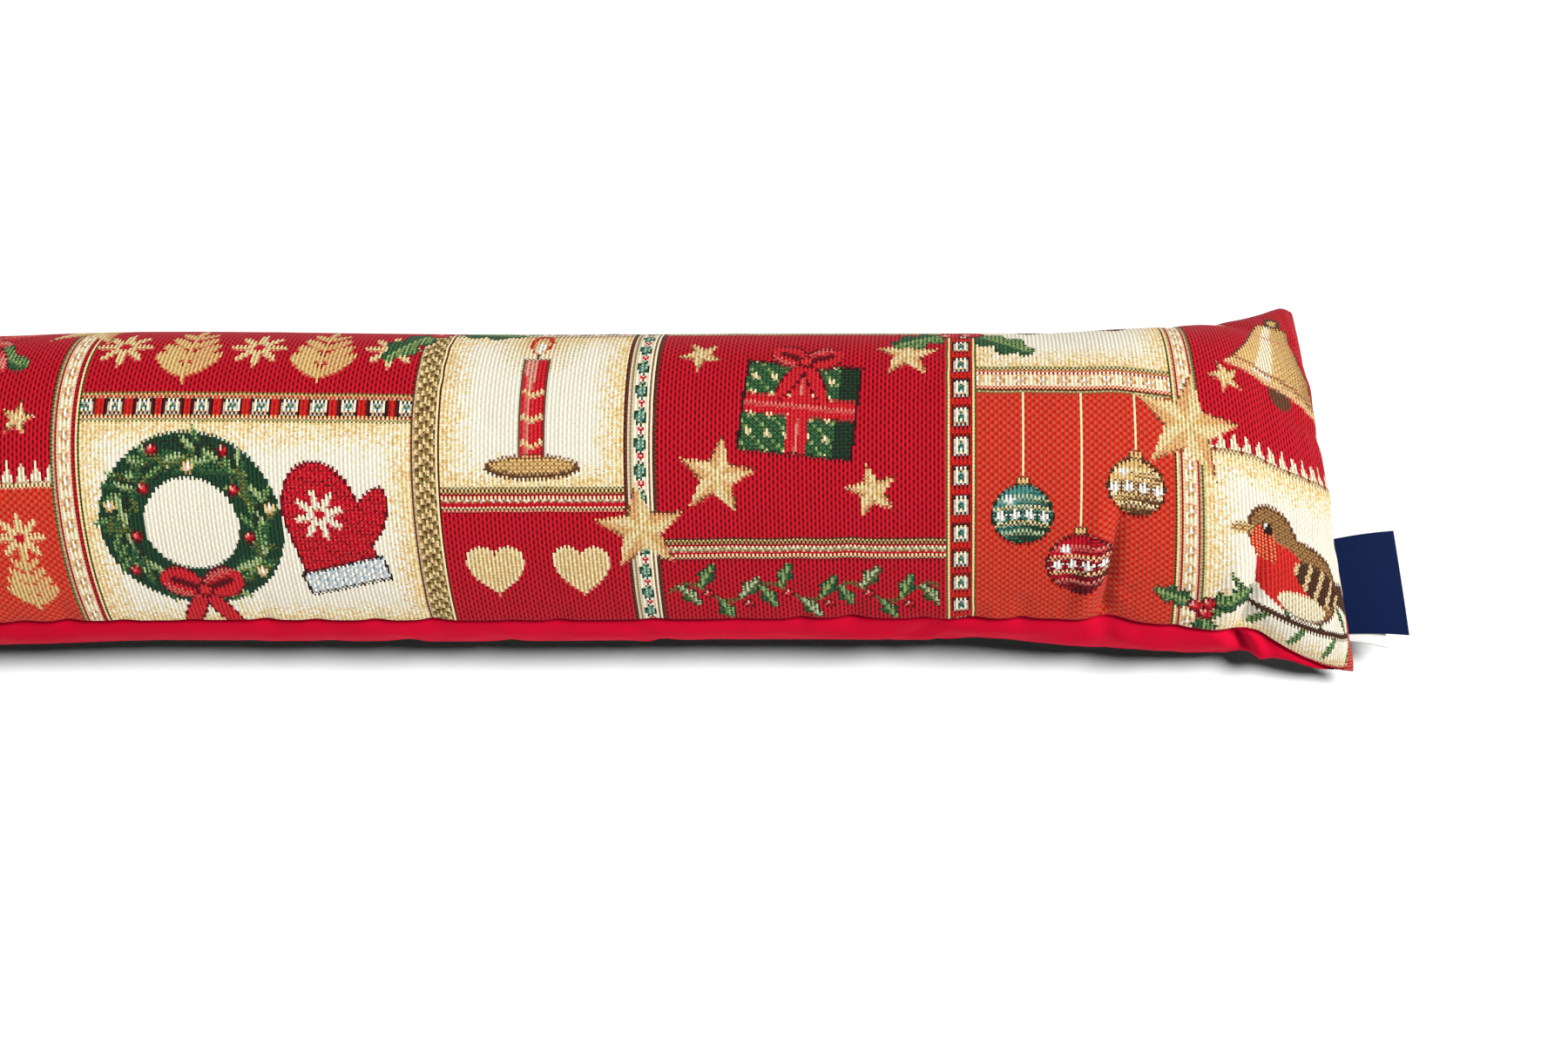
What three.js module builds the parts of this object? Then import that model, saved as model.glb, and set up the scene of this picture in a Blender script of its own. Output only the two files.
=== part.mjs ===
// Draught excluder: a long filled cloth cushion that lies along the foot of a door or window.
// Units are millimetres. X runs along the length towards the labelled end, Y runs from the
// front seam to the back seam, Z is up, and the origin is on the middle of the flat underside.
import * as THREE from 'three';
import { mergeVertices } from 'three/addons/utils/BufferGeometryUtils.js';

// Driving sizes
const earToEar = 870;
const clothWidth = 200;
const clothThickness = 1.2;
const clearance = 0.3;
const endReach = 135;

// Section through the middle: two half ellipses that meet at the widest height, cut by the floor
const halfWidth = 61;
const widestHeight = 38;
const crownHeight = 83;
const bellyDepth = 46;
const crownLean = 0.15;
const frontSeamAngle = 173.5;
const backSeamAngle = 11;
const middleHeight = 56;

// The plain end's back trails its front by this share of what the labelled end's does
const plainEndTrail = 1 / 3;

// Steps of the surfaces: across each panel, and along the length. Points this near each other are one.
const mergeDistance = 1e-4;
const stepsAcross = 18;
const middleSteps = 20;
const endSteps = [0, 3, 7, 12, 18, 26, 36, 45, 53, 61, 77, 95, 105, 113, 121];

// How the cushion closes towards an end. Rows go in from the end seam: where the front and back
// seams lie, how full the two panels are, how far the middle is lifted and drawn in, and how far
// the back trails the front.
const endForm = table(
  ['inset', 'frontY', 'frontZ', 'backY', 'backZ', 'top', 'under', 'liftY', 'liftZ', 'drawnIn', 'trail'],
  [
    [0, -66.5, 14, 93, 56, 0, 0, -12, 22, 3, 26],
    [7, -66.5, 15, 92, 57, 0.3, 0.16, -11, 20, 3, 24],
    [18, -66, 19, 87, 56, 0.5, 0.34, -9, 15, 3, 21],
    [36, -64.5, 27, 79, 56, 0.7, 0.58, -6, 9, 2, 16],
    [60, -62, 37, 72, 56, 0.86, 0.8, -3, 3, 1, 10],
    [95, -60, 44, 66, 55, 0.97, 0.96, 0, 0, 0, 4],
    [135, -60, 47, 62, 54, 1, 1, 0, 0, 0, 0],
  ],
);

// Slow unevenness of the filling along the length
const girth = table(['along', 'front', 'crown', 'back'], [
  [-435, 0, 0, 0],
  [-320, 1, 1, -1],
  [-190, 2.5, -2, -1],
  [-90, 0.5, 1, 1.5],
  [60, 0.5, 0, 0],
  [210, -0.5, 0.5, 0.5],
  [435, 0, 0, 0],
]);

// Puckers that start at a seam: place along the length, half width, reach across the cloth, depth
const puckers = table(['along', 'seam', 'half', 'reach', 'depth'], [
  [322, 'front', 11, 34, 3],
  [376, 'front', 13, 28, 4.5],
  [366, 'back', 11, 30, 3],
  [-336, 'front', 12, 32, 3],
  [-384, 'back', 10, 28, 3.5],
  [-392, 'front', 9, 24, 3],
]);

// Puffs of the under panel beside a seam, near the ears: the same sizes, and how far they stand out
const puffBuildUp = 3;
const puffs = table(['along', 'seam', 'half', 'reach', 'height'], [
  [388, 'back', 17, 46, 8],
  [400, 'front', 14, 44, 5],
  [-396, 'back', 15, 44, 5],
]);

// Labels in the end seam: where they start and end across it, how far they stand out, sweep back
// and rise, how far they lie under the seam line, and how much their front corner is cut back
const labelThickness = 1;
const labelSteps = 8;
const labels = table(['name', 'from', 'to', 'out', 'sweep', 'rise', 'under', 'taper', 'colour'], [
  ['navy_label', 0.19, 0.43, 25, 0.9, 1.5, 0.4, 0, '#1c2a4a'],
  ['care_label', 0.165, 0.37, 17, 0.3, 0.5, 1.9, 3, '#f2f1ee'],
]);

// Rows of values under the names of their columns
function table(names, rows) {
  return rows.map((row) => Object.fromEntries(names.map((name, k) => [name, row[k]])));
}

// A smooth curve through one column of a table
function column(rows, key, name, at) {
  const last = rows.length - 1;
  let i = 0;
  while (i < last - 1 && rows[i + 1][key] < at) i += 1;
  const slope = (k) => {
    const before = rows[Math.max(k - 1, 0)];
    const after = rows[Math.min(k + 1, last)];
    return (after[name] - before[name]) / (after[key] - before[key]);
  };
  const step = rows[i + 1][key] - rows[i][key];
  const t = THREE.MathUtils.clamp((at - rows[i][key]) / step, 0, 1);
  const rise = rows[i + 1][name] - rows[i][name];
  const start = slope(i) * step;
  const finish = slope(i + 1) * step;
  return rows[i][name] + start * t + (3 * rise - 2 * start - finish) * t * t
    + (start + finish - 2 * rise) * t * t * t;
}

// The middle section at an angle in degrees: 0 points back, 90 up, 180 to the front, 270 down
function middleSection(degrees) {
  const angle = THREE.MathUtils.degToRad(degrees);
  const height = Math.sin(angle) * (Math.sin(angle) > 0 ? crownHeight : bellyDepth);
  return {
    y: halfWidth * Math.cos(angle) + crownLean * Math.max(height, 0),
    z: widestHeight + height,
  };
}

// How strongly a pucker or puff works at a place, and how far that place is from its seam
function reachOf(fold, along, share) {
  const fromSeam = (fold.seam === 'front' ? share : 1 - share) * clothWidth;
  const sideways = (along - fold.along) / fold.half;
  return { strength: Math.exp(-sideways * sideways), inwards: Math.min(fromSeam / fold.reach, 1) };
}

// How far a place is pulled in by the puckers, less what the puffs of the under panel stand out
function pullAt(along, share, panel, fullness) {
  let pull = 0;
  for (const pucker of puckers) {
    const { strength, inwards } = reachOf(pucker, along, share);
    pull += pucker.depth * strength * (1 - inwards);
  }
  if (panel === 'top') return pull;
  for (const puff of puffs) {
    const { strength, inwards } = reachOf(puff, along, share);
    pull -= puff.height * Math.min(puffBuildUp * fullness, 1) * strength * 4 * inwards * (1 - inwards);
  }
  return pull;
}

// A point of the cushion's surface. side is -1 or 1 for the nearer end, inset is measured in from
// that end seam, and share runs across a panel from the front seam to the back seam.
function surfacePoint(side, inset, share, panel) {
  const at = Math.min(inset, endReach);
  const form = Object.fromEntries(
    Object.keys(endForm[0]).map((name) => [name, column(endForm, 'inset', name, at)]),
  );
  const span = panel === 'top' ? frontSeamAngle - backSeamAngle : frontSeamAngle - backSeamAngle - 360;
  const angle = frontSeamAngle - span * share;
  const across = (1 - Math.cos(Math.PI * share)) / 2;
  const arch = 4 * across * (1 - across);
  const front = middleSection(frontSeamAngle);
  const back = middleSection(backSeamAngle);
  const round = middleSection(angle);
  const fullness = panel === 'top' ? form.top : form.under;
  const trail = side > 0 ? form.trail : form.trail * plainEndTrail;
  const x = side * (earToEar / 2 - inset - trail * across - form.drawnIn * arch);
  const lump = (name) => form.top * column(girth, 'along', name, x);
  const cosine = Math.cos(THREE.MathUtils.degToRad(angle));
  const sine = Math.sin(THREE.MathUtils.degToRad(angle));
  let y = THREE.MathUtils.lerp(form.frontY, form.backY, across) + form.liftY * arch
    + fullness * (round.y - THREE.MathUtils.lerp(front.y, back.y, across))
    + lump('back') * Math.max(cosine, 0) - lump('front') * Math.max(-cosine, 0);
  let z = THREE.MathUtils.lerp(form.frontZ, form.backZ, across) + form.liftZ * arch
    + fullness * (round.z - THREE.MathUtils.lerp(front.z, back.z, across))
    + lump('crown') * Math.max(sine, 0);
  const pull = pullAt(x, share, panel, fullness) / Math.hypot(y, z - middleHeight);
  y -= y * pull;
  z -= (z - middleHeight) * pull;
  return new THREE.Vector3(x, y, Math.max(z, 0));
}

// The stations along the length, from the plain end to the labelled end
function stations() {
  const middle = [];
  const half = earToEar / 2 - endReach;
  for (let i = 0; i <= middleSteps; i += 1) {
    const x = -half + (2 * half * i) / middleSteps;
    middle.push({ side: x < 0 ? -1 : 1, inset: earToEar / 2 - Math.abs(x) });
  }
  return [
    ...endSteps.map((inset) => ({ side: -1, inset })),
    ...middle,
    ...endSteps.toReversed().map((inset) => ({ side: 1, inset })),
  ];
}

function panelGrid(panel) {
  return stations().map(({ side, inset }) => {
    const row = [];
    for (let j = 0; j <= stepsAcross; j += 1) {
      row.push(surfacePoint(side, inset, j / stepsAcross, panel));
    }
    return row;
  });
}

// Outward normals of a panel's grid of points
function gridNormals(grid) {
  return grid.map((row, i) => row.map((_, j) => {
    const before = grid[Math.max(i - 1, 0)][j];
    const after = grid[Math.min(i + 1, grid.length - 1)][j];
    const front = row[Math.max(j - 1, 0)];
    const back = row[Math.min(j + 1, row.length - 1)];
    const along = new THREE.Vector3().subVectors(after, before);
    return along.cross(new THREE.Vector3().subVectors(back, front)).normalize();
  }));
}

// A closed solid from rings of points, each ring going once round the solid
function solidFromRings(rings, capped) {
  const around = rings[0].length;
  const positions = rings.flat().flatMap((point) => point.toArray());
  const faces = [];
  const quad = (a, b, c, d) => faces.push(a, b, c, a, c, d);
  for (let i = 0; i < rings.length - 1; i += 1) {
    for (let j = 0; j < around; j += 1) {
      const next = (j + 1) % around;
      const corners = [i * around + j, (i + 1) * around + j, (i + 1) * around + next, i * around + next];
      // The second half of a ring runs backwards, so its squares are cut the other way to match
      if (j < around / 2) quad(...corners);
      else quad(...corners.slice(1), corners[0]);
    }
  }
  if (capped) {
    const half = around / 2;
    const last = (rings.length - 1) * around;
    for (let j = 0; j < half - 1; j += 1) {
      const back = around - 1 - j;
      quad(j, j + 1, back - 1, back);
      quad(last + j, last + back, last + back - 1, last + j + 1);
    }
  }
  const geometry = new THREE.BufferGeometry();
  geometry.setAttribute('position', new THREE.Float32BufferAttribute(positions, 3));
  geometry.setIndex(faces);
  return mergeVertices(geometry, mergeDistance);
}

function solid(name, geometry, colour, roughness) {
  geometry.computeVertexNormals();
  const material = new THREE.MeshStandardMaterial({ color: colour, roughness, metalness: 0 });
  const mesh = new THREE.Mesh(geometry, material);
  mesh.name = name;
  return mesh;
}

// The filled cushion, plain red cloth below its seams
function cushionBody(top, under) {
  const rings = top.map((row, i) => [...row, ...under[i].slice(1, -1).toReversed()]);
  return solid('cushion_body', solidFromRings(rings, false), '#b3142a', 0.55);
}

// The woven front panel, which lies on the cushion from seam to seam
function tapestryFront(top) {
  const normals = gridNormals(top);
  const lifted = (i, gap) => top[i].map((point, j) => point.clone().addScaledVector(normals[i][j], gap));
  const rings = top.map((_, i) => [
    ...lifted(i, clearance + clothThickness),
    ...lifted(i, clearance).toReversed(),
  ]);
  return solid('tapestry_front', solidFromRings(rings, true), '#a8382f', 0.9);
}

// A folded ribbon label that stands out of the labelled end's seam
function seamLabel({ name, from, to, out, sweep, rise, under, taper, colour }) {
  const rings = [];
  for (let i = 0; i <= labelSteps; i += 1) {
    const share = THREE.MathUtils.lerp(from, to, i / labelSteps);
    const root = surfacePoint(1, 0, share, 'top').add(new THREE.Vector3(clearance, 0, -under));
    const length = out - taper * (1 - i / labelSteps);
    const upper = [0, 0.5, 1].map((k) => root.clone()
      .add(new THREE.Vector3(length * k, sweep * k, rise * Math.sin((Math.PI * k) / 2))));
    const lower = upper.map((point) => point.clone().setZ(point.z - labelThickness));
    rings.push([...upper.toReversed(), ...lower]);
  }
  return solid(name, solidFromRings(rings, true), colour, 0.7);
}

const top = panelGrid('top');
const under = panelGrid('under');
const group = new THREE.Group();
group.add(cushionBody(top, under));
group.add(tapestryFront(top));
for (const label of labels) group.add(seamLabel(label));

export default group;
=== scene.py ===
"""The look of a draught excluder: a long filled cushion with a woven picture front, a plain red
satin back, and two labels in one end seam.

X runs along the length, Y from the front seam to the back seam, and Z is up. The shape is worked
out in millimetres and turned into metres where a mesh is made.
"""

import math

import bpy
import numpy as np
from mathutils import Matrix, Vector


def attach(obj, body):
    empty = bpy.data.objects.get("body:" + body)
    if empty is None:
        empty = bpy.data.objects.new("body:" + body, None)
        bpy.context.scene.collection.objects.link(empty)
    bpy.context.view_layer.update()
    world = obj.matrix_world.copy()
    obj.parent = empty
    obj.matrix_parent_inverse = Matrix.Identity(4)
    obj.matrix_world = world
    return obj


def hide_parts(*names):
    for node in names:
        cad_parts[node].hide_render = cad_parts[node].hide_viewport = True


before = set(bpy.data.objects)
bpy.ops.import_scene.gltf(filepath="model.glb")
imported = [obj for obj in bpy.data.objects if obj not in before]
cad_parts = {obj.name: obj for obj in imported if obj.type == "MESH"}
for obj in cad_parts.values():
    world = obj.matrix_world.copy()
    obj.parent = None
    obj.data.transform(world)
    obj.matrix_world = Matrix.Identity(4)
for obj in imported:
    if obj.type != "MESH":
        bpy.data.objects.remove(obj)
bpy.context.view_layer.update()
MM = 0.001

# Sizes of the solid
EAR_TO_EAR = 870
CLOTH_LENGTH = 900
CLOTH_WIDTH = 200
CLOTH_THICKNESS = 1.2
CLEARANCE = 0.3
END_REACH = 135
HALF_WIDTH = 61
WIDEST_HEIGHT = 38
CROWN_HEIGHT = 83
BELLY_DEPTH = 46
CROWN_LEAN = 0.15
FRONT_SEAM_ANGLE = 173.5
BACK_SEAM_ANGLE = 11
MIDDLE_HEIGHT = 56
PLAIN_END_TRAIL = 1 / 3
PUFF_BUILD_UP = 3


def table(names, rows):
    """Columns of numbers under their names."""
    values = np.array(rows, float)
    return {name: values[:, k] for k, name in enumerate(names.split())}


# How the cushion closes towards an end, going in from the end seam
END_FORM = table("inset front_y front_z back_y back_z top under lift_y lift_z drawn_in trail", [
    [0, -68, 12, 93, 56, 0, 0, -12, 22, 3, 22],
    [7, -67.5, 13.5, 92, 57, 0.3, 0.16, -11, 20, 3, 21],
    [18, -66.5, 18, 87, 56, 0.5, 0.34, -9, 15, 3, 19],
    [36, -64.5, 27, 79, 56, 0.7, 0.58, -6, 9, 2, 16],
    [60, -62, 37, 72, 56, 0.86, 0.8, -3, 3, 1, 10],
    [95, -60, 44, 66, 55, 0.97, 0.96, 0, 0, 0, 4],
    [135, -60, 47, 62, 54, 1, 1, 0, 0, 0, 0],
])

# Slow unevenness of the filling along the length
GIRTH = table("along front crown back", [
    [-435, 0, 0, 0], [-320, 1, 1, -1], [-190, 2.5, -2, -1], [-90, 0.5, 1, 1.5],
    [60, 0.5, 0, 0], [210, -0.5, 0.5, 0.5], [435, 0, 0, 0],
])

# Puckers that start at a seam: place along the length, seam (0 front, 1 back), half width, reach
# across the cloth, and depth
PUCKERS = table("along seam half reach depth", [
    [324, 0, 9, 36, 2], [387, 0, 14, 30, 4.5], [366, 1, 11, 30, 3],
    [-336, 0, 12, 32, 3], [-384, 1, 10, 28, 3.5], [-392, 0, 9, 24, 3],
])

# Puffs of the under panel beside a seam, near the ears, and how far they stand out
PUFFS = table("along seam half reach height", [
    [384, 1, 22, 46, 11], [418, 0, 26, 12, 1.2], [-396, 1, 15, 44, 5], [345, 0, 52, 66, 4],
])

# Small puckers that the stitches draw in along both long seams, a little apart and uneven
SEEDED = np.random.default_rng(8)
SMALL_PUCKERS = {name: [] for name in PUCKERS}
for seam in (0, 1):
    place = -404.0
    while place < 404:
        sizes = (place, seam, 4 + 4 * SEEDED.random(), 12 + 14 * SEEDED.random(),
                 0.4 + 0.9 * SEEDED.random())
        for name, size in zip(SMALL_PUCKERS, sizes):
            SMALL_PUCKERS[name].append(size)
        place += 17 + 24 * SEEDED.random()
PUCKERS = {name: np.concatenate([PUCKERS[name], SMALL_PUCKERS[name]]) for name in PUCKERS}

# Soft creases of a panel: place along the cushion and across the flat panel, half length, half
# width, turn from the length in degrees, and height
CREASES = {
    "top": table("along across reach half turn height", [
        [324, 24, 30, 3.4, 84, -5], [315, 26, 28, 4.5, 82, 2.8], [385, 18, 26, 3.4, 78, -3.6],
        [376, 20, 22, 4, 78, 2.2], [398, 54, 26, 5, 20, -1.0], [402, 120, 34, 4.5, 78, -0.9],
        [412, 90, 40, 3.5, 86, 0.6], [392, 170, 26, 6, -40, -1.2], [352, 176, 24, 6, -60, -0.9],
        [422, 62, 15, 5, 4, -1.2], [424, 84, 14, 6, -6, 0.9], [423, 112, 15, 5, 2, -1.3],
        [424, 138, 15, 6, -8, 1.0], [421, 160, 16, 5, -14, -1.2], [426, 34, 12, 5, 10, -0.9],
        [-330, 30, 28, 5, 96, -1.2], [-384, 26, 24, 4, 104, -1.6], [-402, 100, 36, 4, 94, -0.8],
    ]),
    "under": table("along across reach half turn height", [
        [324, 12, 14, 4, 84, -1.6], [383, 7, 9, 2.6, 62, -8], [391, 9, 10, 3.6, 64, 3],
        [375, 9, 11, 4, 62, 1.4], [346, 18, 26, 6, 30, 1.0], [300, 14, 30, 5, -14, -0.7],
        [240, 20, 34, 6, 12, 0.6], [402, 40, 30, 6, 50, -1.4], [-384, 18, 24, 4.5, 106, -2.2],
        [-330, 22, 26, 6, 150, 1.0],
    ]),
}
for panel, count in (("top", 22), ("under", 46)):
    for _ in range(count):
        near = 8 + 40 * SEEDED.random()
        size = (820 * (SEEDED.random() - 0.5), near if SEEDED.random() < 0.5 else CLOTH_WIDTH - near,
                14 + 26 * SEEDED.random(), 3 + 4 * SEEDED.random(), 90 + 70 * (SEEDED.random() - 0.5),
                (0.6 if panel == "top" else 2.0) * (SEEDED.random() - 0.55))
        for name, value in zip(CREASES[panel], size):
            CREASES[panel][name] = np.append(CREASES[panel][name], value)

# The groove that the stitches draw into the plain back along the seams: place, half width, depth
STITCH_GROOVE = (1.6, 1.2, 1.3)

# The flat edge along each end seam: how far its fold lies in from the seam, half width and depth
END_FOLD = (9.5, 3.0, 1.1)

# How far from a seam the creases and the end folds reach their full height
CREASE_FADE = 5
FOLD_FADE = 40

# Settling of the filled cloth: its frames, what cloth and filling are like, and the most that a place
# may move. What places within some EVEN_SPREAD columns of the cloth have in common isn't kept.
SETTLE_FRAMES = 20
SETTLING = {
    "use_pressure": True, "uniform_pressure_force": 2, "quality": 6, "mass": 0.3, "air_damping": 2,
    "tension_stiffness": 20, "compression_stiffness": 20, "shear_stiffness": 8, "bending_stiffness": 0.5,
}
MOST_MOVED = 3
EVEN_REACH = 12
EVEN_SPREAD = 5

# The woven front's edge is rolled in this far, and the front stays this far off the floor
ROLLED_EDGE = 3.0
OFF_FLOOR = 0.5

# Grids: cells along and across, for the settling cloth and for the finished surfaces
SETTLE_CELLS = (150, 34)
FRONT_CELLS = (1059, 270)
FRONT_PIECES = ("tapestry_left", "tapestry_middle", "tapestry_right")
BACK_CELLS = (440, 90)

# How many points the surface is measured at to lay those cells out evenly
MEASURED_ALONG = 1201
MEASURED_ACROSS = 161


def curve(form, key, name, at):
    """A smooth curve through one column of a table."""
    x, y = form[key], form[name]
    last = len(x) - 1
    i = np.clip(np.searchsorted(x, at, side="left") - 1, 0, last - 1)
    order = np.arange(last + 1)
    after, before = np.minimum(order + 1, last), np.maximum(order - 1, 0)
    slope = (y[after] - y[before]) / (x[after] - x[before])
    step = x[i + 1] - x[i]
    t = np.clip((at - x[i]) / step, 0, 1)
    rise = y[i + 1] - y[i]
    start, finish = slope[i] * step, slope[i + 1] * step
    return (y[i] + start * t + (3 * rise - 2 * start - finish) * t**2
            + (start + finish - 2 * rise) * t**3)


def middle_section(degrees):
    """The middle section at an angle: 0 points back, 90 up, 180 to the front, 270 down."""
    angle = np.radians(degrees)
    height = np.sin(angle) * np.where(np.sin(angle) > 0, CROWN_HEIGHT, BELLY_DEPTH)
    y = HALF_WIDTH * np.cos(angle) + CROWN_LEAN * np.maximum(height, 0)
    return y, WIDEST_HEIGHT + height


def fold_reach(fold, k, x, share):
    """How strongly fold k works at a place, and how far that place is from its seam."""
    from_seam = np.where(fold["seam"][k] == 0, share, 1 - share) * CLOTH_WIDTH
    sideways = (x - fold["along"][k]) / fold["half"][k]
    return np.exp(-sideways**2), np.minimum(from_seam / fold["reach"][k], 1)


def surface(along, share, panel):
    """Points of the cushion's surface in millimetres, for places along it and across a panel."""
    side = np.where(along < 0, -1.0, 1.0)
    inset = EAR_TO_EAR / 2 - np.abs(along)
    form = {name: curve(END_FORM, "inset", name, np.minimum(inset, END_REACH)) for name in END_FORM}
    span = FRONT_SEAM_ANGLE - BACK_SEAM_ANGLE - (0 if panel == "top" else 360)
    angle = FRONT_SEAM_ANGLE - span * share
    across = (1 - np.cos(np.pi * share)) / 2
    arch = 4 * across * (1 - across)
    front_y, front_z = middle_section(FRONT_SEAM_ANGLE)
    back_y, back_z = middle_section(BACK_SEAM_ANGLE)
    round_y, round_z = middle_section(angle)
    fullness = form["top"] if panel == "top" else form["under"]
    trail = form["trail"] * np.where(side > 0, 1, PLAIN_END_TRAIL)
    x = side * (EAR_TO_EAR / 2 - inset - trail * across - form["drawn_in"] * arch)
    cosine, sine = np.cos(np.radians(angle)), np.sin(np.radians(angle))
    lump = {name: form["top"] * curve(GIRTH, "along", name, x) for name in ("front", "crown", "back")}
    y = (form["front_y"] + (form["back_y"] - form["front_y"]) * across + form["lift_y"] * arch
         + fullness * (round_y - front_y - (back_y - front_y) * across)
         + lump["back"] * np.maximum(cosine, 0) - lump["front"] * np.maximum(-cosine, 0))
    z = (form["front_z"] + (form["back_z"] - form["front_z"]) * across + form["lift_z"] * arch
         + fullness * (round_z - front_z - (back_z - front_z) * across)
         + lump["crown"] * np.maximum(sine, 0))
    pull = np.zeros(np.broadcast(x, share).shape)
    for k in range(len(PUCKERS["along"])):
        strength, inwards = fold_reach(PUCKERS, k, x, share)
        pull += PUCKERS["depth"][k] * strength * (1 - inwards) ** (1 if panel == "top" else 3)
    if panel == "under":
        for k in range(len(PUFFS["along"])):
            strength, inwards = fold_reach(PUFFS, k, x, share)
            rise = PUFFS["height"][k] * np.minimum(PUFF_BUILD_UP * fullness, 1)
            pull -= rise * strength * 4 * inwards * (1 - inwards)
    pull /= np.hypot(y, z - MIDDLE_HEIGHT)
    return np.stack([x + 0 * pull, y - y * pull, np.maximum(z - (z - MIDDLE_HEIGHT) * pull, 0)], -1)


def even_steps(points, count):
    """Places along a line of points that cut it into equal lengths, as shares of its index."""
    length = np.concatenate([[0], np.cumsum(np.linalg.norm(np.diff(points, axis=0), axis=1))])
    return np.interp(np.linspace(0, length[-1], count + 1), length, np.linspace(0, 1, len(points)))


def cloth_places(cells, panel):
    """Where a panel's evenly woven cells lie: places along, and shares across for each of them."""
    dense = np.linspace(-EAR_TO_EAR / 2, EAR_TO_EAR / 2, MEASURED_ALONG)[:, None]
    crown = surface(dense, np.full((1, 1), 0.5), "top")[:, 0]
    along = -EAR_TO_EAR / 2 + EAR_TO_EAR * even_steps(crown, cells[0])[:, None]
    rows = surface(along, np.linspace(0, 1, MEASURED_ACROSS)[None, :], panel)
    return along, np.array([even_steps(row, cells[1]) for row in rows])


def polar(length, degrees):
    """The two parts of a length that points some degrees round from the first axis."""
    angle = math.radians(degrees)
    return length * math.cos(angle), length * math.sin(angle)


def mesh_piece(name, points, faces, material):
    """A piece from points in millimetres and faces of four point numbers each."""
    mesh = bpy.data.meshes.new(name)
    mesh.vertices.add(len(points))
    mesh.vertices.foreach_set("co", (points * MM).astype(np.float32).ravel())
    mesh.loops.add(faces.size)
    mesh.loops.foreach_set("vertex_index", faces.astype(np.int32).ravel())
    mesh.polygons.add(len(faces))
    mesh.polygons.foreach_set("loop_start", np.arange(0, faces.size, 4, dtype=np.int32))
    mesh.update(calc_edges=True)
    mesh.polygons.foreach_set("use_smooth", np.ones(len(faces), bool))
    mesh.materials.append(material)
    piece = bpy.data.objects.new(name, mesh)
    # Keeps the red of the cloth off the white floor, so the shadow stays grey
    piece.visible_diffuse = False
    bpy.context.scene.collection.objects.link(piece)
    return piece


def cloth_piece(name, points, material):
    """A piece from one grid of points."""
    numbers = np.arange(points.shape[0] * points.shape[1]).reshape(points.shape[:2])
    return mesh_piece(name, points.reshape(-1, 3), grid_faces(numbers), material)


def grid_faces(numbers):
    """The faces of a grid of vertex numbers, turned so that they look out of the top panel."""
    a, b = numbers[:-1, :-1].ravel(), numbers[1:, :-1].ravel()
    c, d = numbers[1:, 1:].ravel(), numbers[:-1, 1:].ravel()
    return np.stack([a, b, c, d], -1)


def pillow(top, under):
    """Points and faces of two panels that share their seams, and the point numbers of each panel."""
    top_at = np.arange(top.shape[0] * top.shape[1]).reshape(top.shape[:2])
    own = np.zeros(top.shape[:2], bool)
    own[1:-1, 1:-1] = True
    under_at = top_at.copy()
    under_at[own] = top_at.size + np.arange(own.sum())
    points = np.concatenate([top.reshape(-1, 3), under[own]])
    return points, np.concatenate([grid_faces(top_at), grid_faces(under_at)[:, ::-1]]), top_at, under_at


def settle():
    """How far each place of the two panels moves as the puckered cloth fills out, in millimetres."""
    top, under = (surface(*cloth_places(SETTLE_CELLS, panel), panel) for panel in ("top", "under"))
    start, faces, top_at, under_at = pillow(top, under)
    cushion = mesh_piece("settling", start, faces, bpy.data.materials.new("settling"))
    cloth = cushion.modifiers.new("settle", "CLOTH")
    for name, value in SETTLING.items():
        setattr(cloth.settings, name, value)
    cloth.settings.effector_weights.gravity = 0
    cloth.point_cache.frame_start = 1
    cloth.point_cache.frame_end = SETTLE_FRAMES
    scene = bpy.context.scene
    for step in range(1, SETTLE_FRAMES + 1):
        scene.frame_set(step)
    settled = cushion.evaluated_get(bpy.context.evaluated_depsgraph_get()).to_mesh()
    now = np.empty(start.size, np.float32)
    settled.vertices.foreach_get("co", now)
    scene.frame_set(1)
    bpy.data.objects.remove(cushion)
    moved = now.reshape(-1, 3) / MM - start
    # The even swelling goes, because the form already has the picture's girth
    panels = {"top": moved[top_at], "under": moved[under_at]}
    for name, moves in panels.items():
        local = moves - even_part(moves)
        length = np.linalg.norm(local, axis=-1, keepdims=True)
        panels[name] = local * np.minimum(1, MOST_MOVED / np.maximum(length, 1e-6))
    return panels


def even_part(moves):
    """What neighbouring places along the length have in common."""
    weights = np.exp(-0.5 * (np.arange(-EVEN_REACH, EVEN_REACH + 1) / EVEN_SPREAD) ** 2)
    padded = np.pad(moves, ((EVEN_REACH, EVEN_REACH), (0, 0), (0, 0)), mode="edge")
    return sum(w * padded[k:k + len(moves)] for k, w in enumerate(weights / weights.sum()))


def spread(values, shares):
    """A smooth reading of rows of values at places given as shares of the row's length."""
    count = values.shape[1]
    at = np.clip(shares, 0, 1) * (count - 1)
    i = np.clip(at.astype(int), 0, count - 2)
    t = (at - i)[..., None]
    rows = np.arange(len(values))[:, None]
    p = [values[rows, np.clip(i + k, 0, count - 1)] for k in (-1, 0, 1, 2)]
    return p[1] + 0.5 * t * (p[2] - p[0] + t * (2 * p[0] - 5 * p[1] + 4 * p[2] - p[3]
                                              + t * (3 * (p[1] - p[2]) + p[3] - p[0])))


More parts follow.
